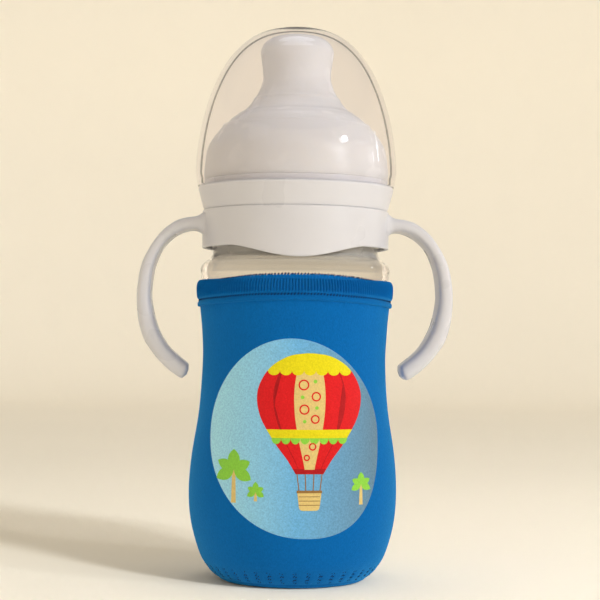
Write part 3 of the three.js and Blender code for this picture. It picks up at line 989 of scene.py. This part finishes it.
def handle_moulding():
    band = ring_band()
    straps = [strap(side) for side in (1, -1)]
    faces = grid_faces(*band.shape[:2], True)
    points = [band.reshape(-1, 3)]
    used = len(points[0])
    for grid in straps:
        faces += grid_faces(*grid.shape[:2], False, first=used)
        points.append(grid.reshape(-1, 3))
        used += len(points[-1])
    return build("handle_moulding", np.vstack(points), faces, plastic_white, crease=50)


def teat_moulding():
    foot = rounded([
        (23.4, 124.5, 0.3), (27.4, 124.5, 0.4), (27.4, 126.5, 0.4), (25.7, 126.5, 0.3),
        (25.7, 130.45, 0.3), (30.3, 130.42, 0.1), (30.3, 134, 0),
    ])
    ridge = rounded([(24.6, 148, 0), (24.35, 148.75, 0.35), (23.5, 148.75, 0.35), (23.2, 149, 0)])
    nipple = spline(TEAT_NIPPLE, 24)
    for height in NIPPLE_RIDGES:
        nipple[:, 0] += RIDGE_HEIGHT * np.exp(-(((nipple[:, 1] - height) / 0.5) ** 2))
    outline = np.vstack([
        foot, spline(TEAT_OUTER)[1:], ridge[1:-1], nipple, spline(TEAT_INNER)[::-1],
        [(23.4, 129.5)],
    ])
    return skin_over("teat_moulding", turned(outline, 160), silicone_white)


def collar_moulding():
    threaded = [(COLLAR_BORE, z, 0) for z in np.arange(122.6, 112.8, -THREAD_ROW)]
    outline = rounded([
        (COLLAR_BORE, 112.2, 0.3), (29.1, 112.2, 0.3), (29.1, 120.53, 0.1), (30.15, 120.53, 0.05),
        (30.4, 121.2, 0.4), (32.2, 127.7, 0.5), (31.9, 128.4, 0.35), (30.3, 128.4, 0.1),
        (30.3, 130.4, 0.12), (28.8, 130.4, 0.4), (28.8, 128.4, 0.2), (26, 128.4, 0.4),
        (26, 126.8, 0.3), (COLLAR_BORE, 126.8, 0.2), *threaded,
    ])

    def shape(angle, radius, height):
        wall = (np.abs(radius - COLLAR_BORE) < 0.01) & (height > 112.7) & (height < 122.7)
        bottom = THREAD_BOTTOM - COLLAR_THREAD_DROP
        return radius - np.where(wall, thread_lift(angle, height, bottom), 0), height

    return skin_over("collar_moulding", turned(outline, 192, shape), plastic_white)


def dome_line(radius, top, steps=80):
    angle = math.pi / 2 * np.linspace(0, 1, steps + 1)
    across = np.cos(angle).clip(0) ** (2 / CAP_ROUND_SIDE)
    up = np.sin(angle) ** (2 / CAP_ROUND_TOP)
    return np.stack([radius * across, CAP_SPRING + (top - CAP_SPRING) * up], axis=1)


def cap_dome():
    inner = dome_line(CAP_RADIUS - CAP_SIDE_WALL, CAP_TOP - CAP_TOP_WALL)[::-1]
    outer = dome_line(CAP_RADIUS, CAP_TOP)
    seat = CAP_BOTTOM - 0.2
    rim = rounded([
        (CAP_RADIUS - CAP_SIDE_WALL, CAP_SPRING, 0), (30.7, 131.4, 0.4), (30.7, seat, 0.25),
        (32.3, seat, 0.15), (CAP_RADIUS, CAP_SPRING, 0),
    ])
    outline = np.vstack([inner, rim[1:-1], outer])
    grid = turned(outline, 320)
    return skin_over("cap_dome", grid, clear_cap, close_rows=False, crease=50)


# ---- assembly --------------------------------------------------------------------------

draw = random.Random(7)

body = sleeve_body()
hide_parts("sleeve_wall")
panel = base_panel()
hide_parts("sleeve_base")
roll = hem_roll()
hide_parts("hem_binding")
needle_line = hem_stitches(draw)
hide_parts("hem_stitch")
edge_line = base_stitches(draw)
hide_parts("base_stitch")
seam = back_seam()
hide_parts("back_seam_stitch")
ground = print_ground()
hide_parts("print_patch")
motif = print_motif()
lip = hem_lip()
loops = lip_threads(draw)

for piece in (body, panel, roll, lip):
    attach(piece, "sleeve")
for piece in (needle_line, edge_line, seam, loops):
    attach(piece, "sleeve")
for piece in (ground, *motif):
    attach(piece, "sleeve")

for make, node, rides_on, slot in (
    (bottle_glass, "glass_bottle", "bottle", "clear_glass"),
    (handle_moulding, "handle_ring", "handles", "white_plastic"),
    (teat_moulding, "teat", "teat", "teat_silicone"),
    (collar_moulding, "screw_collar", "collar", "white_plastic"),
    (cap_dome, "travel_cap", "cap", "clear_plastic"),
):
    piece = make()
    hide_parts(node)
    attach(piece, rides_on)


# ---- stage, light and camera -----------------------------------------------------------


def backdrop():
    """A round cream floor that curves up into a wall and glows faintly far from the bottle."""
    floor_radius, curve, wall = 1.4, 0.5, 1.0
    bend = [
        (floor_radius + curve * math.sin(a), curve - curve * math.cos(a))
        for a in np.linspace(0, math.pi / 2, 16)
    ]
    outline = np.array([(0, 0), (0.2, 0), (0.6, 0), *bend, (floor_radius + curve, wall)]) / MM
    material, tree, shader = start_material("cream paper", Roughness=0.9, Specular_IOR_Level=0.1)
    cream = (0.84, 0.77, 0.635)
    where = object_space(tree)
    cloud = noise(tree, where, 260, 2)
    tree.links.new(mottled(tree, cloud, cream, 0.985), shader.inputs["Base Color"])
    shader.inputs["Emission Color"].default_value = (0.84, 0.79, 0.7, 1)
    away = add(tree, "VectorMath", {0: where}, operation="LENGTH").outputs["Value"]
    tree.links.new(spread(tree, away, 0.5, 1.6, 0, 0.17), shader.inputs["Emission Strength"])
    floor = skin_over("backdrop", turned(outline, 96), material, close_rows=False, crease=80)
    floor.location.z = cad_box[0][2] - 0.0001
    return floor


def lamp(name, azimuth, elevation, size, power, distance=1.05, only=None, glossy=True):
    """A soft area light of size (across, up) in metres, aimed at the bottle. Azimuth goes from
    the front towards +X. With only, it lights that object alone, which everything shades.
    Without glossy, it leaves no highlight."""
    aim = Vector((0, 0, 0.09))
    a, e = math.radians(azimuth), math.radians(elevation)
    away = Vector((math.sin(a) * math.cos(e), -math.cos(a) * math.cos(e), math.sin(e)))
    data = bpy.data.lights.new(name, "AREA")
    data.shape = "ELLIPSE"
    data.size, data.size_y = size
    data.energy = power
    data.color = (0.87, 0.92, 1)
    light = bpy.data.objects.new(name, data)
    light.location = aim + away * distance
    light.rotation_mode = "QUATERNION"
    light.rotation_quaternion = away.to_track_quat("Z", "Y")
    bpy.context.scene.collection.objects.link(light)
    light.visible_glossy = glossy
    light.visible_transmission = glossy
    if only is not None:
        lit = bpy.data.collections.new(name)
        lit.objects.link(only)
        light.light_linking.receiver_collection = lit


def camera():
    """The camera stands in front of the bottle, a little to its left, and looks slightly up."""
    distance, height, lens = 0.528, 0.0782, 96
    azimuth, pitch, roll_angle = -2.0, 1.43, 0.62
    beside = 0.00174
    data = bpy.data.cameras.new("camera")
    data.lens = lens
    data.sensor_width = 36
    data.clip_start, data.clip_end = 0.01, 20
    cam = bpy.data.objects.new("camera", data)
    a = math.radians(azimuth)
    position = Vector((distance * math.sin(a), -distance * math.cos(a), height))
    turn = Matrix.Rotation(a - math.atan(beside / distance), 4, "Z")
    tip = Matrix.Rotation(math.pi / 2 + math.radians(pitch), 4, "X")
    spin = Matrix.Rotation(math.radians(roll_angle), 4, "Z")
    cam.matrix_world = Matrix.Translation(position) @ turn @ tip @ spin
    bpy.context.scene.collection.objects.link(cam)
    bpy.context.scene.camera = cam


def room():
    """Even light from all round, brighter behind the bottle than behind the camera."""
    world = bpy.data.worlds.new("studio")
    world.use_nodes = True
    tree = world.node_tree
    direction = add(tree, "TexCoord", {}).outputs["Generated"]
    part = add(tree, "SeparateXYZ", {0: direction})
    back = spread(tree, part.outputs["Y"], -1, 1, 0.2, 0.55)
    above = spread(tree, part.outputs["Z"], 0.3, 1, 0, 0.2)
    sky = tree.nodes["Background"]
    sky.inputs["Color"].default_value = (1, 0.935, 0.84, 1)
    strength = add(tree, "Math", {0: back, 1: above}, operation="ADD").outputs[0]
    tree.links.new(strength, sky.inputs["Strength"])
    bpy.context.scene.world = world


paper = backdrop()
lamp("key", 56, 21.5, (0.11, 0.05), 1.6)
lamp("broad key", 50, 22, (0.3, 0.3), 2.1, glossy=False)
lamp("edge", 105, 16, (0.012, 0.2), 0.4)
lamp("top", 180, 80, (0.5, 0.2), 0.8)
lamp("key on the floor", 38, 27, (0.28, 0.28), 34, distance=2, only=paper)
room()
bpy.context.scene.view_settings.view_transform = "Standard"
camera()
